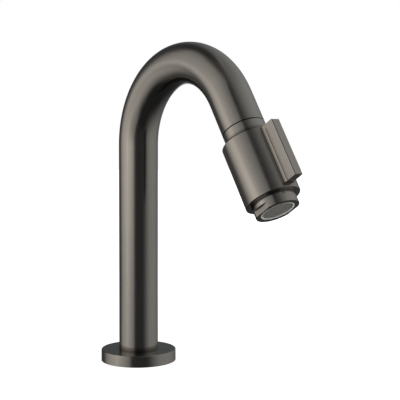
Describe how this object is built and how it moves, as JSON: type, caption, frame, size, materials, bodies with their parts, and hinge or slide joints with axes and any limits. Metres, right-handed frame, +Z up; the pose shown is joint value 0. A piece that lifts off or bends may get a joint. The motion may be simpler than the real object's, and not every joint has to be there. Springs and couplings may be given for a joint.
{
  "type": "basin tap",
  "caption": "Swan-neck pillar tap with a quarter-turn sleeve handle on its outlet, an aerator, a round base flange and a threaded inlet shank.",
  "frame": {"origin": "centre of the column on the top of the deck, at the underside of the base flange", "axes": "+Z up along the column, +X the way the spout reaches, +Y completes the right-handed frame"},
  "size_m": [0.1681, 0.048, 0.2504],
  "materials": {
    "gunmetal": "brushed dark gunmetal coating",
    "raw_brass": "turned brass",
    "black_rubber": "matt black rubber",
    "plain_steel": "plain stainless steel",
    "white_ceramic": "lapped ceramic",
    "white_plastic": "low-friction plastic",
    "grey_plastic": "moulded pale grey plastic"
  },
  "bodies": {
    "tap_body": {"spout_tube": "gunmetal", "base_flange": "gunmetal", "base_gasket": "black_rubber", "shank_bush": "raw_brass", "threaded_shank": "raw_brass", "shank_o_ring": "black_rubber", "deck_rubber_washer": "black_rubber", "deck_steel_washer": "plain_steel", "back_nut": "raw_brass", "outlet_bush": "raw_brass", "valve_body": "gunmetal", "valve_body_o_ring": "black_rubber", "sleeve_bearing_ring": "white_plastic", "seat_seal": "black_rubber", "fixed_disc": "white_ceramic", "gland_nut": "raw_brass", "gland_o_ring": "black_rubber", "thrust_washer": "white_plastic"},
    "handle": {"moving_disc": "white_ceramic", "spindle": "raw_brass", "spindle_o_rings": "black_rubber", "outlet_hub": "raw_brass", "handle_sleeve": "gunmetal", "sleeve_grub_screw": "plain_steel", "aerator_seal": "black_rubber", "aerator_insert": "grey_plastic", "aerator_mesh": "plain_steel", "aerator_housing": "gunmetal"}
  },
  "joints": [
    {"name": "handle_turn", "type": "hinge", "parent": "tap_body", "child": "handle", "pos_m": [0.10077, 0, 0.14798], "axis": [0.5344, 0, -0.8453], "range_deg": [0, 90]}
  ]
}
